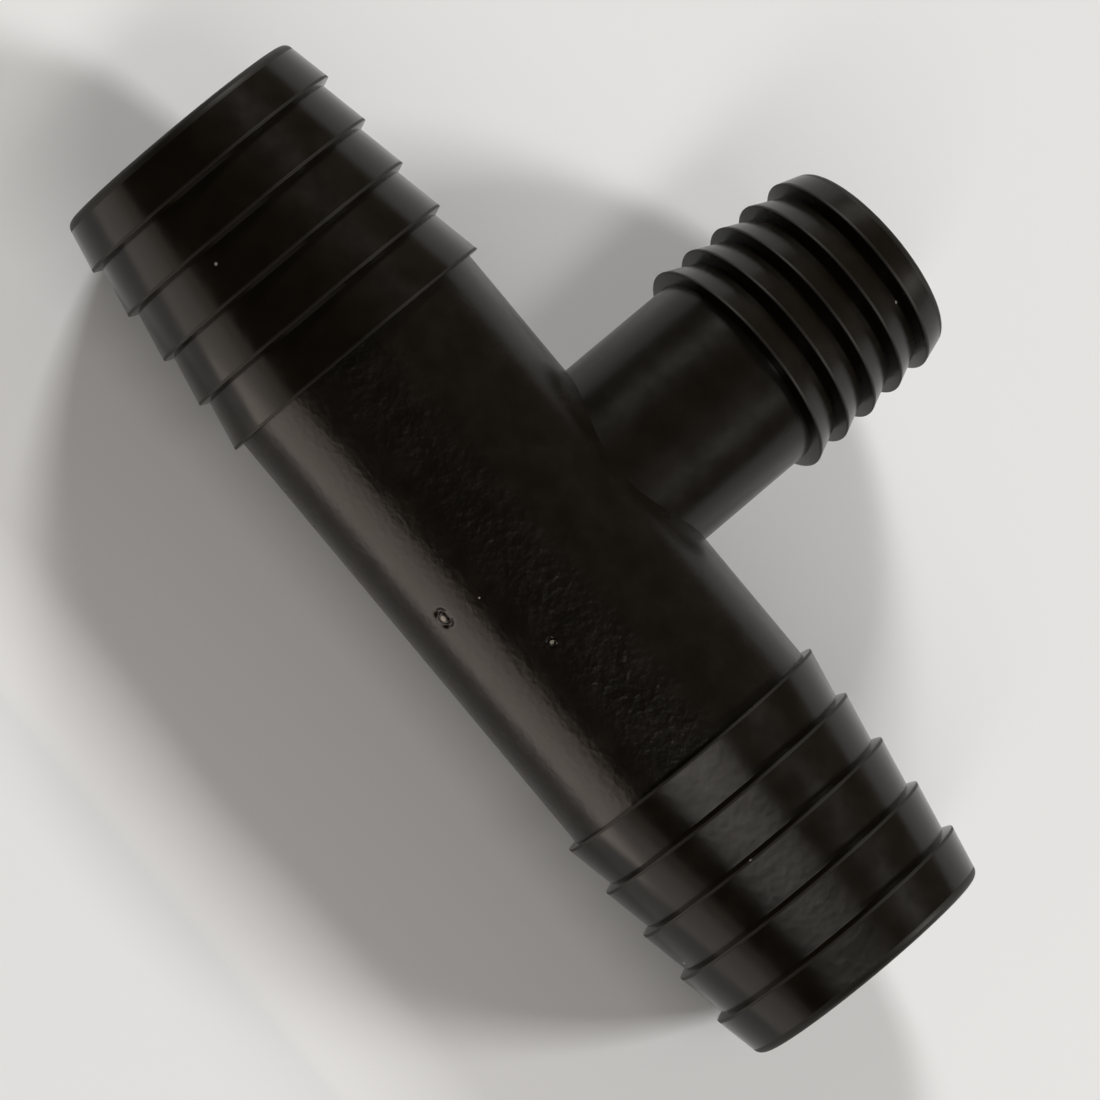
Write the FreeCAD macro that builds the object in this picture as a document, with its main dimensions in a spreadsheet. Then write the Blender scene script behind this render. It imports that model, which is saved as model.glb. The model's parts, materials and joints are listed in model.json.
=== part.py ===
import FreeCAD, Part

import os

import Sketcher

# Hose barb tee, moulded in one piece.
# The run is the straight tube along X, with a barbed spigot at each end.
# The branch is the smaller barbed spigot, which leaves the middle of the run along +Y.
# The origin is where the two axes cross, and +Z is square to both.

NODE = "tee_body"

# Driving dimensions, in millimetres, degrees and counts.
# A neck is the plain stretch from the other tube's shank to the first crest.
# A crest's rise is its height over the shank, and its drop is the radius lost from one barb to the next.
SIZES = {
    "run_shank_diameter": 25.4,
    "run_wall": 2.5,
    "run_neck_length": 12.95,
    "run_barb_count": 5,
    "run_barb_pitch": 4.9,
    "run_barb_height": 0.8,
    "run_crest_rise": 0.875,
    "run_crest_drop": 0.094,
    "run_crest_land": 0.15,
    "run_back_lean": 0.35,
    "run_inner_back_lean": 0.05,
    "run_nose_length": 4.65,
    "run_nose_drop": 0.95,
    "branch_shank_diameter": 19.05,
    "branch_wall": 2.125,
    "branch_neck_length": 12.55,
    "branch_barb_count": 5,
    "branch_barb_pitch": 3.32,
    "branch_barb_height": 1.2,
    "branch_crest_rise": 1.195,
    "branch_crest_drop": 0.13,
    "branch_crest_land": 0.15,
    "branch_back_lean": 0.2,
    "branch_inner_back_lean": 0.2,
    "branch_nose_length": 2.8,
    "branch_nose_drop": 0.85,
    "lip_chamfer": 0.5,
    "mouth_chamfer": 0.5,
    "junction_fillet": 0.4,
    "gate_angle": 60.5,
    "gate_ring_diameter": 2.2,
    "gate_nub_diameter": 1.0,
    "gate_ring_depth": 0.25,
}
OTHER_TUBE = {"run": "branch", "branch": "run"}

X_DIRECTION = FreeCAD.Vector(1, 0, 0)
Y_DIRECTION = FreeCAD.Vector(0, 1, 0)
MATCH = 1e-4

doc = FreeCAD.newDocument("hose_barb_tee")
sizes = doc.addObject("Spreadsheet::Sheet", "sizes")
for row, (alias, number) in enumerate(SIZES.items(), start=1):
    sizes.set(f"A{row}", alias)
    sizes.set(f"B{row}", str(number))
    sizes.setAlias(f"B{row}", alias)
doc.recompute()

body = doc.addObject("PartDesign::Body", NODE)
body.Label = NODE
body.Placement = FreeCAD.Placement()


def value(expression):
    """The number that an expression on the sheet gives."""
    return float(sizes.evalExpression(expression))


def origin_part(role):
    """One of the body's own origin planes or axes."""
    return next(part for part in body.Origin.OriginFeatures if part.Role == role)


def new_sketch(name, plane_role):
    """An empty sketch on one of the body's origin planes."""
    sketch = body.newObject("Sketcher::SketchObject", name)
    sketch.AttachmentSupport = [(origin_part(plane_role), "")]
    sketch.MapMode = "FlatFace"
    return sketch


def bind(sketch, number, name, expression):
    """Name a dimension of a sketch and bind it to the sheet."""
    sketch.renameConstraint(number, name)
    sketch.setExpression(f"Constraints.{name}", expression)


def hold(sketch, geometry, kind, axis, expression, name):
    """Dimension a line's first point from the sketch's origin, or keep it on an axis where it is at 0."""
    if not expression:
        sketch.addConstraint(Sketcher.Constraint("PointOnObject", geometry, 1, axis))
        return
    number = sketch.addConstraint(
        Sketcher.Constraint(kind, -1, 1, geometry, 1, value(expression))
    )
    bind(sketch, number, name, expression)


def draw_outline(sketch, corners):
    """A closed outline of straight lines, with its corners dimensioned from the sketch's origin.

    A corner is its place across and its place up, each an expression. An empty one means 0.
    """
    places = [FreeCAD.Vector(value(across or "0"), value(up or "0"), 0) for across, up in corners]
    count = len(corners)
    for index in range(count):
        sketch.addGeometry(Part.LineSegment(places[index], places[(index + 1) % count]), False)
    for index in range(count):
        sketch.addConstraint(
            Sketcher.Constraint("Coincident", index, 2, (index + 1) % count, 1)
        )
    for index, (across, up) in enumerate(corners):
        hold(sketch, index, "DistanceX", -2, across, f"across_{index}")
        hold(sketch, index, "DistanceY", -1, up, f"up_{index}")


def draw_circle(sketch, radius, name):
    """A circle about the sketch's origin, with its radius bound to an expression of the sheet's sizes."""
    circle = Part.Circle(FreeCAD.Vector(0, 0, 0), FreeCAD.Vector(0, 0, 1), value(radius))
    index = sketch.addGeometry(circle, False)
    sketch.addConstraint(Sketcher.Constraint("Coincident", index, 3, -1, 1))
    number = sketch.addConstraint(Sketcher.Constraint("Radius", index, value(radius)))
    bind(sketch, number, name, radius)


def shank_radius(tube):
    """The outer radius of a tube where it is plain."""
    return f"sizes.{tube}_shank_diameter / 2"


def bore_radius(tube):
    """The radius of a tube's bore, one wall inside its shank."""
    return f"{shank_radius(tube)} - sizes.{tube}_wall"


def crest_rings(tube):
    """Where each crest of a spigot lies: its distance from the origin and its radius, innermost first."""
    first_crest = f"{shank_radius(OTHER_TUBE[tube])} + sizes.{tube}_neck_length"
    first_radius = f"{shank_radius(tube)} + sizes.{tube}_crest_rise"
    rings = []
    for barb in range(int(SIZES[f"{tube}_barb_count"])):
        along = f"{first_crest} + {barb} * sizes.{tube}_barb_pitch"
        radius = f"{first_radius} - {barb} * sizes.{tube}_crest_drop"
        rings.append((along, radius))
    return rings


def end_of(tube):
    """How far a tube's end face lies from the origin."""
    return f"{crest_rings(tube)[-1][0]} + sizes.{tube}_nose_length"


def nose_radius(tube):
    """The radius to which the last barb tapers at a tube's end face."""
    return f"{crest_rings(tube)[-1][1]} - sizes.{tube}_nose_drop"


def spigot_outline(tube):
    """Half of a tube's section, from the origin to its end: distance along the axis, and radius.

    Each barb is a cone that opens towards the origin and ends in a crest with a narrow land.
    Behind the crest a steep back face drops to the foot of the next cone.
    """
    outline = [("", ""), ("", shank_radius(tube))]
    for barb, (along, radius) in enumerate(crest_rings(tube)):
        lean = f"sizes.{tube}_back_lean" if barb else f"sizes.{tube}_inner_back_lean"
        foot = f"{radius} - sizes.{tube}_barb_height" if barb else shank_radius(tube)
        outline.append((f"{along} - {lean}", foot))
        outline.append((along, radius))
        outline.append((f"{along} + sizes.{tube}_crest_land", radius))
    outline.append((end_of(tube), nose_radius(tube)))
    outline.append((end_of(tube), ""))
    return outline


def end_edges(direction, tube, radius):
    """Names of the round edges of a tube's end faces that have the given radius."""
    found = []
    for number, edge in enumerate(body.Shape.Edges, start=1):
        curve = edge.Curve
        if not isinstance(curve, Part.Circle):
            continue
        along = curve.Center.dot(direction)
        on_axis = (curve.Center - direction * along).Length < MATCH
        at_end = abs(abs(along) - value(end_of(tube))) < MATCH
        same_radius = abs(curve.Radius - value(radius(tube))) < MATCH
        if on_axis and at_end and same_radius:
            found.append(f"Edge{number}")
    return found


def junction_edges():
    """Names of the edges where the branch's shank leaves the run's shank."""
    found = []
    for number, edge in enumerate(body.Shape.Edges, start=1):
        points = edge.discretize(9)
        on_run = all(
            abs(FreeCAD.Vector(0, p.y, p.z).Length - value(shank_radius("run"))) < MATCH
            for p in points
        )
        on_branch = all(
            abs(FreeCAD.Vector(p.x, 0, p.z).Length - value(shank_radius("branch"))) < MATCH
            for p in points
        )
        if on_run and on_branch:
            found.append(f"Edge{number}")
    return found


def dress_edges(kind, name, prop, expression, edges):
    """Fillet or chamfer the named edges of the body as it stands."""
    dressing = body.newObject(f"PartDesign::{kind}", name)
    dressing.Base = (dressing.BaseFeature or body.Tip, edges)
    setattr(dressing, prop, value(expression))
    dressing.setExpression(prop, expression)
    doc.recompute()
    return dressing


def cut(sketch, name, side="One side", depth=""):
    """Cut a sketch to a depth, or right through, and stop if that takes nothing away."""
    before = body.Shape.Volume
    pocket = body.newObject("PartDesign::Pocket", name)
    pocket.Profile = sketch
    pocket.SideType = side
    if depth:
        pocket.Type = "Length"
        pocket.setExpression("Length", depth)
    else:
        pocket.Type = "ThroughAll"
    doc.recompute()
    taken = before - body.Shape.Volume
    print(f"{name} takes {taken:.2f} cubic millimetres")
    if taken <= 0:
        raise RuntimeError(f"{name} cuts nothing")


# Run: half of it turned about X, then mirrored to the other end.
run_section = new_sketch("run_section", "XY_Plane")
draw_outline(run_section, spigot_outline("run"))
run_half = body.newObject("PartDesign::Revolution", "run_half")
run_half.Profile = run_section
run_half.ReferenceAxis = (run_section, ["H_Axis"])
run_half.Angle = 360
doc.recompute()

run_other_half = body.newObject("PartDesign::Mirrored", "run_other_half")
run_other_half.Originals = [run_half]
run_other_half.MirrorPlane = (origin_part("YZ_Plane"), [""])
body.Tip = run_other_half
doc.recompute()

# Branch: the same kind of section, turned about Y.
branch_section = new_sketch("branch_section", "XY_Plane")
draw_outline(branch_section, [(radius, along) for along, radius in spigot_outline("branch")])
branch = body.newObject("PartDesign::Revolution", "branch")
branch.Profile = branch_section
branch.ReferenceAxis = (branch_section, ["V_Axis"])
branch.Angle = 360
doc.recompute()

# Junction: the small fillet in the corner where the branch leaves the run.
dress_edges("Fillet", "junction", "Radius", "sizes.junction_fillet", junction_edges())

# Bores: one right through the run, and one from the branch's end down into it.
run_circle = new_sketch("run_circle", "YZ_Plane")
draw_circle(run_circle, bore_radius("run"), "bore")
cut(run_circle, "run_bore", side="Symmetric")
branch_circle = new_sketch("branch_circle", "XZ_Plane")
draw_circle(branch_circle, bore_radius("branch"), "bore")
cut(branch_circle, "branch_bore")

# Ends: a chamfer round the lip, which leads the hose on, and one inside the mouth.
lips = end_edges(X_DIRECTION, "run", nose_radius) + end_edges(Y_DIRECTION, "branch", nose_radius)
dress_edges("Chamfer", "lips", "Size", "sizes.lip_chamfer", lips)
mouths = end_edges(X_DIRECTION, "run", bore_radius) + end_edges(Y_DIRECTION, "branch", bore_radius)
dress_edges("Chamfer", "mouths", "Size", "sizes.mouth_chamfer", mouths)

# Gate mark: a shallow ring round the small stub where the plastic entered the mould.
gate_section = new_sketch("gate_section", "XY_Plane")
gate_section.AttachmentOffset = FreeCAD.Placement(
    FreeCAD.Vector(0, 0, 0), FreeCAD.Rotation(X_DIRECTION, value("sizes.gate_angle"))
)
gate_section.setExpression(".AttachmentOffset.Rotation.Angle", "sizes.gate_angle")
gate_section.setExpression(".AttachmentOffset.Base.y", f"-{shank_radius('run')} * sin(sizes.gate_angle)")
gate_section.setExpression(".AttachmentOffset.Base.z", f"{shank_radius('run')} * cos(sizes.gate_angle)")
draw_circle(gate_section, "sizes.gate_ring_diameter / 2", "ring")
draw_circle(gate_section, "sizes.gate_nub_diameter / 2", "nub")
cut(gate_section, "gate_mark", depth="sizes.gate_ring_depth")

# Nothing is written unless every object and the whole solid are sound.
for item in doc.Objects:
    faults = {"Invalid", "Error"} & set(item.State)
    if faults:
        raise RuntimeError(f"{item.Name} is {sorted(faults)}")
if body.Shape.isNull() or not body.Shape.isValid() or len(body.Shape.Solids) != 1:
    raise RuntimeError(f"{body.Label} isn't one valid solid")

box = body.Shape.BoundBox
print(f"{body.Label}: {box.XLength:.2f} x {box.YLength:.2f} x {box.ZLength:.2f} mm")
print(f"volume {body.Shape.Volume:.1f} cubic millimetres, {len(body.Shape.Faces)} faces")

os.makedirs("parts", exist_ok=True)
body.Shape.exportStep(f"parts/{body.Label}.step")
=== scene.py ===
import json
import math

import bmesh
import bpy
from mathutils import Matrix, Vector


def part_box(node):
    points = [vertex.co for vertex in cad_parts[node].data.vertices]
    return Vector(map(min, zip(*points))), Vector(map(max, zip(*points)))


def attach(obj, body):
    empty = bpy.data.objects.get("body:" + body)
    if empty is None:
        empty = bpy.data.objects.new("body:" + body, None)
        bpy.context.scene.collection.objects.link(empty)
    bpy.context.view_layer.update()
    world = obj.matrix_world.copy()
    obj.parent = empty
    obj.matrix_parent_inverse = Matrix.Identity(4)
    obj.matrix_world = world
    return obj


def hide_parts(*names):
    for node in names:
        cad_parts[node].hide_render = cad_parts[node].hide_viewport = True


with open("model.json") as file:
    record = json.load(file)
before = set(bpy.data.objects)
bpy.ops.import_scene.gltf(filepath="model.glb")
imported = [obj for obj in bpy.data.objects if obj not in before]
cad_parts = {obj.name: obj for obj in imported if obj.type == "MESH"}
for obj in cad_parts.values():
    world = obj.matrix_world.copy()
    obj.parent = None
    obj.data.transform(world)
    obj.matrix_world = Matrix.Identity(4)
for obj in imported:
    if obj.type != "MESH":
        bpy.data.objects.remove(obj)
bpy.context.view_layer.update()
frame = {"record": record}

# Tee moulding, its shape. The real piece is one injection moulding: two large barbed spigots in
# line make the run, and a smaller one leaves its middle as the branch. Core pins leave the bores,
# and the barbs are steps cut into the mould halves, so their crests and the lips are slightly round.
MM = 0.001
body_low, body_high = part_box("tee_body")
mounts = {mount["name"]: mount for mount in frame["record"]["mounts"]}

# Sizes in millimetres. A crest's land is the narrow flat between its two rounded edges. A lean is
# how far the foot of a barb's back face lies inwards of the crest. The inmost barb has its own.
RUN = {
    "end": body_high.x / MM,
    "shank": 12.7,
    "bore": mounts["run_bore"]["dims"]["r_mm"],
    "first_crest": 22.475,
    "barbs": 5,
    "pitch": 4.9,
    "height": 0.8,
    "crest": body_high.z / MM,
    "crest_drop": 0.094,
    "crest_land": 0.1,
    "crest_rounding": 0.07,
    "back_lean": 0.35,
    "inner_back_lean": 0.05,
    "nose_drop": 0.95,
    "lip_rounding": 0.85,
}
BRANCH = {
    "end": body_high.y / MM,
    "shank": 9.525,
    "bore": mounts["branch_bore"]["dims"]["r_mm"],
    "first_crest": 25.25,
    "barbs": 5,
    "pitch": 3.32,
    "height": 1.2,
    "crest": 10.72,
    "crest_drop": 0.13,
    "crest_land": 0.15,
    "crest_rounding": 0.1,
    "back_lean": 0.2,
    "inner_back_lean": 0.2,
    "nose_drop": 0.85,
    "lip_rounding": 0.75,
}
MOUTH_ROUNDING = 0.4


def barb_corners(tube):
    """Corners of a spigot's outline, from shank to bore: distance out, radius and rounding."""
    corners = []
    for barb in range(tube["barbs"]):
        out = tube["first_crest"] + barb * tube["pitch"]
        radius = tube["crest"] - barb * tube["crest_drop"]
        if barb:
            corners.append((out - tube["back_lean"], radius - tube["height"], 0))
        else:
            corners.append((out - tube["inner_back_lean"], tube["shank"], 0))
        corners.append((out, radius, tube["crest_rounding"]))
        corners.append((out + tube["crest_land"], radius, tube["crest_rounding"]))
    corners.append((tube["end"], radius - tube["nose_drop"], tube["lip_rounding"]))
    corners.append((tube["end"], tube["bore"], MOUTH_ROUNDING))
    return corners


# A rounding takes at most this share of the straight stretches beside it.
ROUNDING_SHARE = 0.48
ARC_STEP = math.radians(15)
SUPPORT = 0.15


def arc(corner, before, after, rounding):
    """Points of the arc that rounds a corner between its neighbours."""
    back = (before - corner).normalized()
    on = (after - corner).normalized()
    half = back.angle(on) / 2
    room = ROUNDING_SHARE * min((before - corner).length, (after - corner).length)
    reach = min(rounding / math.tan(half), room)
    centre = corner + (back + on).normalized() * reach / math.cos(half)
    start = corner + back * reach - centre
    turn = start.angle_signed(corner + on * reach - centre)
    steps = max(1, math.ceil(abs(turn) / ARC_STEP))
    return [centre + Matrix.Rotation(-turn * step / steps, 2) @ start for step in range(steps + 1)]


def stations(start, corners, finish):
    """Rings of a turned surface as (distance out, radius, sharp), with its corners rounded.

    A ring close to each end of a straight stretch keeps the shading of the stretch flat.
    """
    places = [Vector(start)] + [Vector(corner[:2]) for corner in corners] + [Vector(finish)]
    stretches = [[places[0]]]
    sharp = []
    for index, (_, _, rounding) in enumerate(corners, start=1):
        if rounding:
            stretches.append(arc(places[index], places[index - 1], places[index + 1], rounding))
        else:
            stretches.append([places[index]])
            sharp.append(places[index])
    stretches.append([places[-1]])
    rings = []
    for stretch, following in zip(stretches, stretches[1:]):
        rings += stretch
        gap = following[0] - stretch[-1]
        if gap.length > 3 * SUPPORT:
            step = gap.normalized() * SUPPORT
            rings += [stretch[-1] + step, following[0] - step]
    rings.append(places[-1])
    return [(place.x, place.y, place in sharp) for place in rings]


# The run is a grid of rings and columns, with a window in it where the branch leaves.
COLUMNS = 240
COLUMN_STEP = 2 * math.pi / COLUMNS
WINDOW_HALF_LENGTH = 13.0
WINDOW_HALF_ANGLE = math.radians(60)
WINDOW_RINGS = 52
moulding = bmesh.new()


def run_point(x, angle, radius):
    """A vertex on the run. Angle 0 faces along the branch, and 90 degrees faces up."""
    return moulding.verts.new(Vector((x, radius * math.cos(angle), radius * math.sin(angle))) * MM)


def branch_point(y, angle, radius):
    """A vertex on the branch. Angle 0 faces along the run, and 90 degrees faces up."""
    return moulding.verts.new(Vector((radius * math.cos(angle), y, radius * math.sin(angle))) * MM)


def join_loops(first, second):
    """A band of faces between two closed loops of equally many vertices."""
    for index in range(len(first)):
        after = (index + 1) % len(first)
        moulding.faces.new((first[index], first[after], second[after], second[index]))


def sharpen(loop):
    """Marks the edges of a closed loop as sharp."""
    for index, vert in enumerate(loop):
        edge = moulding.edges.get((vert, loop[(index + 1) % len(loop)]))
        edge.smooth = False


def run_skin(rings, windows):
    """The run's surface through its rings, less its windows. Gives the loop round each window."""
    grid = []
    for x, radius, _ in rings:
        grid.append([run_point(x, COLUMN_STEP * column, radius) for column in range(COLUMNS)])
    cells = set()
    loops = []
    for x, angle, half_length, half_angle in windows:
        first = min(range(len(rings)), key=lambda ring: abs(rings[ring][0] - x + half_length))
        last = min(range(len(rings)), key=lambda ring: abs(rings[ring][0] - x - half_length))
        left = round((angle - half_angle) / COLUMN_STEP)
        right = round((angle + half_angle) / COLUMN_STEP)
        for ring in range(first, last):
            cells |= {(ring, column % COLUMNS) for column in range(left, right)}
        loops.append(
            [grid[ring][left % COLUMNS] for ring in range(first, last)]
            + [grid[last][column % COLUMNS] for column in range(left, right)]
            + [grid[ring][right % COLUMNS] for ring in range(last, first, -1)]
            + [grid[first][column % COLUMNS] for column in range(right, left, -1)]
        )
    for ring in range(len(rings) - 1):
        for column in range(COLUMNS):
            if (ring, column) in cells:
                continue
            after = (column + 1) % COLUMNS
            moulding.faces.new(
                (grid[ring][column], grid[ring][after], grid[ring + 1][after], grid[ring + 1][column])
            )
    for ring, (_, _, sharp) in enumerate(rings):
        if sharp:
            sharpen(grid[ring])
    return loops


# A narrow row of faces on each side of the corner keeps its shading crisp.
EDGE_SHARE = 0.015


def blend_rows(loop, inner, radius, rows):
    """Bands on the run's surface from a window's loop in to an inner loop of (x, angle) places."""
    outer = [(vert.co.x / MM, math.atan2(vert.co.z, vert.co.y)) for vert in loop]
    outer = [
        (x, inner[index][1] + math.remainder(angle - inner[index][1], 2 * math.pi))
        for index, (x, angle) in enumerate(outer)
    ]
    for share in [row / rows for row in range(1, rows)] + [1 - EDGE_SHARE, 1]:
        following = [
            run_point(x + (x_in - x) * share, angle + (angle_in - angle) * share, radius)
            for (x, angle), (x_in, angle_in) in zip(outer, inner)
        ]
        join_loops(loop, following)
        loop = following
    return loop


def branch_skin(loop, angles, run_radius, branch_radius, rings, rows):
    """The branch's surface, from a window in the run over a sharp corner and along its rings."""
    heights = [math.sqrt(run_radius ** 2 - (branch_radius * math.sin(angle)) ** 2) for angle in angles]
    foot = [
        (branch_radius * math.cos(angle), math.atan2(branch_radius * math.sin(angle), height))
        for angle, height in zip(angles, heights)
    ]
    loop = blend_rows(loop, foot, run_radius, rows)
    sharpen(loop)
    level = rings[0][0]
    starts = [vert.co.y / MM for vert in loop]
    for share in [EDGE_SHARE] + [row / rows for row in range(1, rows + 1)]:
        following = [
            branch_point(start + (level - start) * share, angle, branch_radius)
            for start, angle in zip(starts, angles)
        ]
        join_loops(loop, following)
        loop = following
    for y, radius, sharp in rings[1:]:
        following = [branch_point(y, angle, radius) for angle in angles]
        join_loops(loop, following)
        loop = following
        if sharp:
            sharpen(loop)


MARK_ROWS = 3
MARK_SIDE_DEPTH = 0.04


def moulded_mark(loop, x, angle, run_radius, section):
    """A small round mark in a window of the run, from its section of (radius, height) inwards.

    A hollow has its full depth towards the run's two ends and hardly any at the sides between
    them, so it reads as two crescents.
    """
    places = [
        (
            vert.co.x / MM - x,
            math.remainder(math.atan2(vert.co.z, vert.co.y) - angle, 2 * math.pi),
        )
        for vert in loop
    ]
    turns = [math.atan2(across * run_radius, along) for along, across in places]
    outer_radius = section[0][0]
    rim = [
        (x + outer_radius * math.cos(turn), angle + outer_radius * math.sin(turn) / run_radius)
        for turn in turns
    ]
    loop = blend_rows(loop, rim, run_radius, MARK_ROWS)
    for radius, height in section[1:]:
        following = []
        for turn in turns:
            depth_share = MARK_SIDE_DEPTH + (1 - MARK_SIDE_DEPTH) * math.cos(turn) ** 2
            following.append(
                run_point(
                    x + radius * math.cos(turn),
                    angle + radius * math.sin(turn) / run_radius,
                    run_radius + height * (1 if height > 0 else depth_share),
                )
            )
        join_loops(loop, following)
        loop = following
    middle = run_point(x, angle, run_radius + section[-1][1])
    for index, vert in enumerate(loop):
        moulding.faces.new((vert, loop[(index + 1) % len(loop)], middle))


# Gate mark: two crescent hollows round the torn stub where the plastic entered the mould. The small
# dimple near it is an ejector's, with a raised tip. A place is a distance along the run and an angle
# round it, and a reach is half the size of the window that the mark is set in.
GATE_PLACE = (0.0, math.radians(150.5))
GATE_REACH = (2.0, math.radians(8))
GATE_SECTION = [
    (1.35, 0),
    (1.15, -0.01),
    (1.02, -0.05),
    (0.92, -0.14),
    (0.8, -0.25),
    (0.72, -0.28),
    (0.66, -0.26),
    (0.58, -0.14),
    (0.5, -0.02),
    (0.4, 0.04),
    (0.25, 0.05),
    (0.1, 0.02),
]
DIMPLE_PLACE = (7.35, math.radians(119.8))
DIMPLE_REACH = (1.1, math.radians(4.6))
DIMPLE_SECTION = [
    (0.55, 0),
    (0.47, -0.03),
    (0.4, -0.14),
    (0.3, -0.16),
    (0.22, -0.08),
    (0.17, 0.02),
    (0.08, 0.06),
]

middle_rings = [
    (WINDOW_HALF_LENGTH * (2 * ring / WINDOW_RINGS - 1), RUN["shank"], False)
    for ring in range(WINDOW_RINGS + 1)
]
run_bore_end = RUN["end"] - MOUTH_ROUNDING - SUPPORT
right_rings = stations(
    (WINDOW_HALF_LENGTH, RUN["shank"]), barb_corners(RUN), (run_bore_end, RUN["bore"])
)
left_rings = [(-x, radius, sharp) for x, radius, sharp in reversed(right_rings)]
branch_window, gate_window, dimple_window = run_skin(
    left_rings[:-1] + middle_rings + right_rings[1:],
    [
        (0, 0, WINDOW_HALF_LENGTH, WINDOW_HALF_ANGLE),
        (*GATE_PLACE, *GATE_REACH),
        (*DIMPLE_PLACE, *DIMPLE_REACH),
    ],
)
moulded_mark(gate_window, *GATE_PLACE, RUN["shank"], GATE_SECTION)
moulded_mark(dimple_window, *DIMPLE_PLACE, RUN["shank"], DIMPLE_SECTION)
BRANCH_START = 14.0
BLEND_ROWS = 8
branch_bore_end = BRANCH["end"] - MOUTH_ROUNDING - SUPPORT
branch_rings = stations(
    (BRANCH_START, BRANCH["shank"]), barb_corners(BRANCH), (branch_bore_end, BRANCH["bore"])
)
branch_angles = [math.atan2(vert.co.z, vert.co.x) for vert in branch_window]
branch_skin(branch_window, branch_angles, RUN["shank"], BRANCH["shank"], branch_rings, BLEND_ROWS)

# The bores: the run's is a plain tube, and the branch's meets it at a sharp edge.
bore_rings = (
    [(-run_bore_end, RUN["bore"], False)]
    + [(x, RUN["bore"], False) for x, _, _ in middle_rings]
    + [(run_bore_end, RUN["bore"], False)]
)
(bore_window,) = run_skin(bore_rings, [(0, 0, WINDOW_HALF_LENGTH, WINDOW_HALF_ANGLE)])
branch_bore_rings = [
    (BRANCH_START, BRANCH["bore"], False),
    (branch_bore_end, BRANCH["bore"], False),
]
branch_skin(bore_window, branch_angles, RUN["bore"], BRANCH["bore"], branch_bore_rings, BLEND_ROWS)

# The outer skin and the bores end on the same rings inside the mouths, and are merged there.
MERGE = 1e-6
bmesh.ops.remove_doubles(moulding, verts=moulding.verts, dist=MERGE)
loose = [vert for vert in moulding.verts if not vert.link_faces]
bmesh.ops.delete(moulding, geom=loose, context="VERTS")
bmesh.ops.recalc_face_normals(moulding, faces=moulding.faces)

# The mould is grained on the run's shank alone. The run's spigots and the bores are smooth, and the
# branch is a little more matt. Handling has rubbed the crests and the lips dull. The stub of the
# gate and the tip of the dimple are torn plastic, and the pale colour given to them also paints the
# bright highlight on them. Each finish is a slot of the mesh. The rubbed reach is a share of the
# rounding, and the other limits are in millimetres.
SMOOTH = 0
GRAINED = 1
TORN_PAINTED_HIGHLIGHT = 2
RUBBED = 3
MATT = 4
TORN_PAINTED_HIGHLIGHT_RADIUS = {GATE_PLACE: 0.26, DIMPLE_PLACE: 0.19}
RUBBED_REACH = 1.2
ON_SHANK = 0.01
OFF_SHANK = 0.001
BEHIND_CREST = 1.0
ROUND_BRANCH = BRANCH["crest"] + 0.1


def is_crest(tube, out, radius):
    """Whether a place on a spigot lies in the rounding of a crest or of the lip."""
    return any(
        math.hypot(out - across, radius - high) < RUBBED_REACH * rounding
        for across, high, rounding in barb_corners(tube)
    )


def finish_at(x, y, from_run, from_branch):
    """The finish of a face, from where its middle lies."""
    if y > 0 and from_run > RUN["shank"] + OFF_SHANK and from_branch < ROUND_BRANCH:
        return RUBBED if is_crest(BRANCH, y, from_branch) else MATT
    if abs(x) < RUN["first_crest"] and abs(from_run - RUN["shank"]) < ON_SHANK:
        return GRAINED
    if abs(x) > RUN["first_crest"] - BEHIND_CREST and is_crest(RUN, abs(x), from_run):
        return RUBBED
    return SMOOTH


for face in moulding.faces:
    face.smooth = True
    centre = face.calc_center_median() / MM
    from_run = math.hypot(centre.y, centre.z)
    from_branch = math.hypot(centre.x, centre.z)
    face.material_index = finish_at(centre.x, centre.y, from_run, from_branch)
    # The stub's and the tip's faces take the pale torn finish, which is partly a painted highlight.
    for (x, angle), radius in TORN_PAINTED_HIGHLIGHT_RADIUS.items():
        middle = Vector((x, RUN["shank"] * math.cos(angle), RUN["shank"] * math.sin(angle)))
        if (centre - middle).length < radius:
            face.material_index = TORN_PAINTED_HIGHLIGHT
tee_mesh = bpy.data.meshes.new("tee_moulding")
moulding.to_mesh(tee_mesh)
moulding.free()
tee = bpy.data.objects.new("tee_moulding", tee_mesh)
bpy.context.scene.collection.objects.link(tee)


# Glass-filled polypropylene, moulded in a satin mould. The eye sees a near black with a slight warm
# cast, soft-edged highlights, and pale specks of dust. Its IOR was matched down from polypropylene's
# usual 1.49, at which the rims mirror the pale floor more than the real ones do.
def srgb(code):
    """A linear colour from an sRGB hex code."""
    levels = [int(code[place:place + 2], 16) / 255 for place in (1, 3, 5)]
    linear = [
        level / 12.92 if level <= 0.04045 else ((level + 0.055) / 1.055) ** 2.4 for level in levels
    ]
    return linear + [1]


def add_node(tree, kind, settings=None, links=None):
    """Adds a node, sets its properties and inputs, and links its other inputs.

    A number stands for an input's place among the node's inputs.
    """
    node = tree.nodes.new(kind)
    for name, setting in (settings or {}).items():
        if isinstance(name, int) or name in node.inputs:
            node.inputs[name].default_value = setting
        else:
            setattr(node, name, setting)
    for name, source in (links or {}).items():
        tree.links.new(source, node.inputs[name])
    return node


PLASTIC_IOR = 1.3
PLASTIC_DARK = srgb("#0e0b07")
PLASTIC_LIGHT = srgb("#120f0a")
MOTTLE_MM = 2.5
SHEEN_SPREAD = 0.03

# Dust: a speck in some of the cells of a pattern, with the cells' spacing in millimetres.
SPECK_COLOUR = srgb("#8f8a82")
SPECK_SPACING = 4.0
SPECK_RADIUS = 0.17
SPECK_CORE = 0.8
SPECK_SHARE = 0.16

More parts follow.
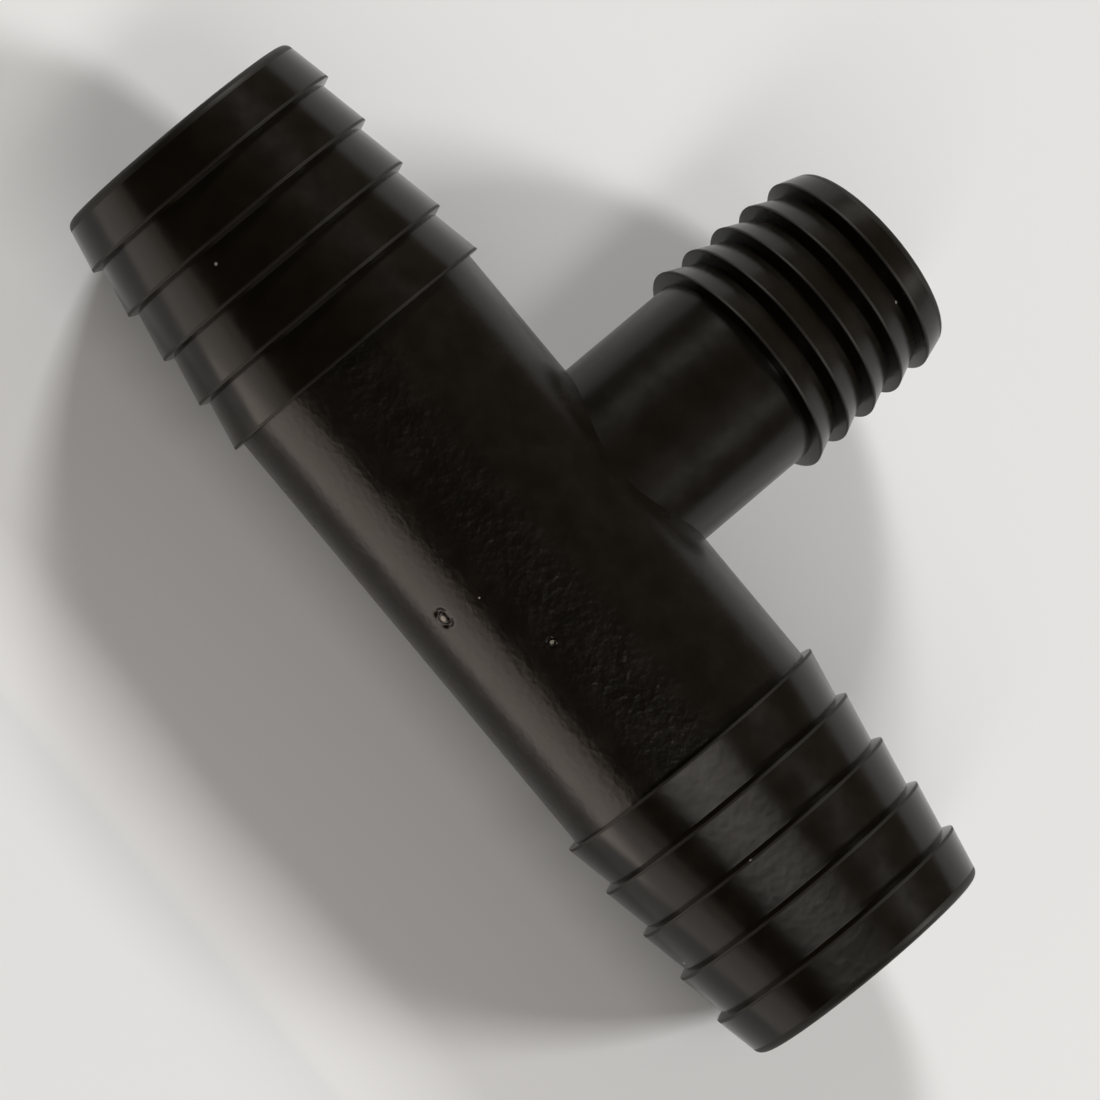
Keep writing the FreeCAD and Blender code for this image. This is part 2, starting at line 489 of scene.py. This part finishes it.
# The grain is a pebble with ripples through it. It is full on the middle of the shank, fades
# towards the branch, and is weaker on the far side, and the slight waves of the other finishes do
# the same. Its places are shares of the way across the shank, from 0 on the far side to 1 on the
# branch's side, and its depths are shares of the full one.
RIPPLE_FINENESS = 1.4
PEBBLE_SHARE = 0.5
FAR_PLACE = 0.12
FAR_DEPTH = (0.35, 0.35, 0.35, 1)
FULL_PLACES = (0.28, 0.4)
FULL_DEPTH = (1, 1, 1, 1)
BRANCH_PLACE = 0.6
BRANCH_DEPTH = (0.08, 0.08, 0.08, 1)


def polypropylene(name, roughness, grain_mm, grain_depth_mm):
    """Satin black polypropylene with a mould grain of the given width and depth."""
    material = bpy.data.materials.new(name)
    material.use_nodes = True
    tree = material.node_tree
    tree.nodes.clear()
    place = add_node(tree, "ShaderNodeTexCoord").outputs["Object"]
    mottle = add_node(
        tree,
        "ShaderNodeTexNoise",
        {"Scale": 1 / (MOTTLE_MM * MM), "Detail": 3.0},
        {"Vector": place},
    )
    colour = add_node(tree, "ShaderNodeValToRGB", links={"Fac": mottle.outputs["Fac"]})
    dark, light = colour.color_ramp.elements
    dark.position = 0.35
    dark.color = PLASTIC_DARK
    light.position = 0.65
    light.color = PLASTIC_LIGHT
    cells = add_node(
        tree, "ShaderNodeTexVoronoi", {"Scale": 1 / (SPECK_SPACING * MM)}, {"Vector": place}
    )
    speck_edge = SPECK_RADIUS / SPECK_SPACING
    near = add_node(
        tree,
        "ShaderNodeMapRange",
        {"From Min": SPECK_CORE * speck_edge, "From Max": speck_edge, "To Min": 1.0, "To Max": 0.0},
        {"Value": cells.outputs["Distance"]},
    )
    draw = add_node(tree, "ShaderNodeSeparateColor", links={"Color": cells.outputs["Color"]})
    chosen = add_node(
        tree, "ShaderNodeMath", {"operation": "LESS_THAN", 1: SPECK_SHARE}, {0: draw.outputs["Red"]}
    )
    speck = add_node(
        tree,
        "ShaderNodeMath",
        {"operation": "MULTIPLY"},
        {0: near.outputs["Result"], 1: chosen.outputs["Value"]},
    )
    speckled = add_node(
        tree,
        "ShaderNodeMix",
        {"data_type": "RGBA", 7: SPECK_COLOUR},
        {0: speck.outputs["Value"], 6: colour.outputs["Color"]},
    )
    sheen = add_node(
        tree,
        "ShaderNodeMapRange",
        {
            "From Min": 0.3,
            "From Max": 0.7,
            "To Min": roughness - SHEEN_SPREAD,
            "To Max": roughness + SHEEN_SPREAD,
        },
        {"Value": mottle.outputs["Fac"]},
    )
    cell = add_node(
        tree, "ShaderNodeTexVoronoi", {"Scale": 1 / (grain_mm * MM)}, {"Vector": place}
    )
    pebble = add_node(
        tree, "ShaderNodeMath", {"operation": "POWER", 1: 2.0}, {0: cell.outputs["Distance"]}
    )
    ripple = add_node(
        tree,
        "ShaderNodeTexNoise",
        {"Scale": RIPPLE_FINENESS / (grain_mm * MM), "Detail": 1.0},
        {"Vector": place},
    )
    relief = add_node(
        tree,
        "ShaderNodeMath",
        {"operation": "MULTIPLY_ADD", 1: PEBBLE_SHARE},
        {0: pebble.outputs["Value"], 2: ripple.outputs["Fac"]},
    )
    split = add_node(tree, "ShaderNodeSeparateXYZ", links={"Vector": place})
    across = add_node(
        tree,
        "ShaderNodeMapRange",
        {"From Min": -RUN["shank"] * MM, "From Max": RUN["shank"] * MM},
        {"Value": split.outputs["Y"]},
    )
    fade = add_node(tree, "ShaderNodeValToRGB", links={"Fac": across.outputs["Result"]})
    far_stop, branch_stop = fade.color_ramp.elements
    far_stop.position = FAR_PLACE
    far_stop.color = FAR_DEPTH
    branch_stop.position = BRANCH_PLACE
    branch_stop.color = BRANCH_DEPTH
    for position in FULL_PLACES:
        fade.color_ramp.elements.new(position).color = FULL_DEPTH
    faded = add_node(
        tree,
        "ShaderNodeMath",
        {"operation": "MULTIPLY"},
        {0: relief.outputs["Value"], 1: fade.outputs["Color"]},
    )
    grain = add_node(
        tree,
        "ShaderNodeBump",
        {"Strength": 1.0, "Distance": grain_depth_mm * MM},
        {"Height": faded.outputs["Value"]},
    )
    shader = add_node(
        tree,
        "ShaderNodeBsdfPrincipled",
        {"IOR": PLASTIC_IOR},
        {
            "Base Color": speckled.outputs[2],
            "Roughness": sheen.outputs["Result"],
            "Normal": grain.outputs["Normal"],
        },
    )
    add_node(tree, "ShaderNodeOutputMaterial", links={"Surface": shader.outputs["BSDF"]})
    return material


def torn_polypropylene_painted_highlight(name, colour, roughness):
    """Torn plastic in a pale colour, partly whitened where it stretched and partly a painted
    highlight.
    """
    material = bpy.data.materials.new(name)
    material.use_nodes = True
    shader = material.node_tree.nodes["Principled BSDF"]
    shader.inputs["Base Color"].default_value = srgb(colour)
    shader.inputs["Roughness"].default_value = roughness
    return material


# The grain's pebbles are 0.85 mm wide, like the flecks that show. A real satin grain is finer, too
# fine to show, so it is drawn as coarse as that. Elsewhere the surface has only slight waves.
PEBBLES = {"grain_mm": 0.85, "grain_depth_mm": 0.05}
WAVES = {"grain_mm": 1.4, "grain_depth_mm": 0.01}
finishes = {
    SMOOTH: polypropylene("smooth_polypropylene", roughness=0.2, **WAVES),
    GRAINED: polypropylene("grained_polypropylene", roughness=0.26, **PEBBLES),
    # The torn finish's pale colour is partly a painted highlight on the gate's stub and the dimple's
    # tip.
    TORN_PAINTED_HIGHLIGHT: torn_polypropylene_painted_highlight("torn_polypropylene_painted_highlight", colour="#746f67", roughness=0.5),
    RUBBED: polypropylene("rubbed_polypropylene", roughness=0.5, **WAVES),
    MATT: polypropylene("matt_polypropylene", roughness=0.25, **WAVES),
}
for slot in sorted(finishes):
    tee_mesh.materials.append(finishes[slot])
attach(tee, "root")
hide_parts("tee_body")

# Floor: a sheet of matt white paper, wide enough to fill every view. Its colour is a little cool,
# so that the warm lamps leave it neutral.
FLOOR_HALF_WIDTH = 2.0
FLOOR_COLOUR = srgb("#f0f4fa")
FLOOR_ROUGHNESS = 0.9
floor_mesh = bpy.data.meshes.new("paper_floor")
floor_corners = [(-1, -1), (1, -1), (1, 1), (-1, 1)]
floor_mesh.from_pydata(
    [(x * FLOOR_HALF_WIDTH, y * FLOOR_HALF_WIDTH, body_low.z) for x, y in floor_corners],
    [],
    [(0, 1, 2, 3)],
)
floor = bpy.data.objects.new("paper_floor", floor_mesh)
bpy.context.scene.collection.objects.link(floor)
paper = bpy.data.materials.new("matt_white_paper")
paper.use_nodes = True
paper_shader = paper.node_tree.nodes["Principled BSDF"]
paper_shader.inputs["Base Color"].default_value = FLOOR_COLOUR
paper_shader.inputs["Roughness"].default_value = FLOOR_ROUGHNESS
floor_mesh.materials.append(paper)

# Lamps and room. The room is dim and warm, and darker on the side away from the branch. Two keys
# stand beyond the branch, one at each side, so that the shadow falls on the near side. A row of
# three low lamps lies by the floor there and draws the long highlight, which is strongest in the
# middle. A tall lamp high on the right draws the fainter one on the right spigot.
ROOM_COLOUR = srgb("#ffefdc")
ROOM_DARK = 0.033
ROOM_LIGHT = 0.13
world = bpy.data.worlds.new("studio")
bpy.context.scene.world = world
world.use_nodes = True
backdrop = world.node_tree.nodes["Background"]
backdrop.inputs["Color"].default_value = ROOM_COLOUR
towards = add_node(world.node_tree, "ShaderNodeTexCoord").outputs["Generated"]
split = add_node(world.node_tree, "ShaderNodeSeparateXYZ", links={"Vector": towards})
brightness = add_node(
    world.node_tree,
    "ShaderNodeMapRange",
    {"From Min": -0.15, "From Max": 0.25, "To Min": ROOM_DARK, "To Max": ROOM_LIGHT},
    {"Value": split.outputs["Y"]},
)
world.node_tree.links.new(brightness.outputs["Result"], backdrop.inputs["Strength"])


def softbox(name, place, size, radiance, colour, facing=None):
    """A rectangular lamp that faces the tee's middle, or the given direction.

    Place and size are in metres, and the size is along the run and then square to it.
    """
    width, height = size
    light = bpy.data.lights.new(name, "AREA")
    light.shape = "RECTANGLE"
    light.size = width
    light.size_y = height
    light.energy = radiance * math.pi * width * height
    light.color = srgb(colour)[:3]
    lamp = bpy.data.objects.new(name, light)
    bpy.context.scene.collection.objects.link(lamp)
    behind = -Vector(facing).normalized() if facing else Vector(place).normalized()
    across = behind.cross(Vector((1, 0, 0))).normalized()
    turned = Matrix((across.cross(behind), across, behind)).transposed()
    lamp.matrix_world = Matrix.Translation(place) @ turned.to_4x4()
    lamp.visible_camera = False


KEY = {"size": (0.5, 0.5), "radiance": 48, "colour": "#fffaf3"}
LOW = {"size": (0.08, 0.17), "colour": "#ffeedd", "facing": (0, 0.337, 0.941)}
softbox("key_left", (-1.625, 1.463, 1.212), **KEY)
softbox("key_right", (1.625, 1.463, 1.212), **KEY)
softbox("low_middle", (0, -0.122, 0.0155), radiance=2.6, **LOW)
softbox("low_left", (-0.08, -0.122, 0.0155), radiance=1.12, **LOW)
softbox("low_right", (0.08, -0.122, 0.0155), radiance=0.72, **LOW)
softbox("high_side", (0.35, -0.305, 0.77), size=(0.17, 0.95), radiance=4.7, colour="#fff8f0")

# Camera: it looks down on the tee from the side away from the branch, with a long lens.
CAMERA_PLACE = Vector((-13.11, -173.85, 629.13)) * MM
CAMERA_AIM = Vector((1.53, 1.82, 0)) * MM
CAMERA_ROLL = math.radians(54.773)
CAMERA_LENS = 247.29
CAMERA_FAR_LIMIT = 10
camera = bpy.data.objects.new("camera", bpy.data.cameras.new("camera"))
camera.data.lens = CAMERA_LENS
camera.data.clip_end = CAMERA_FAR_LIMIT
bpy.context.scene.collection.objects.link(camera)
aim = (CAMERA_AIM - CAMERA_PLACE).to_track_quat("-Z", "Y").to_matrix()
turned = aim @ Matrix.Rotation(CAMERA_ROLL, 3, "Z")
camera.matrix_world = Matrix.Translation(CAMERA_PLACE) @ turned.to_4x4()
bpy.context.scene.camera = camera
bpy.context.scene.view_settings.view_transform = "Standard"
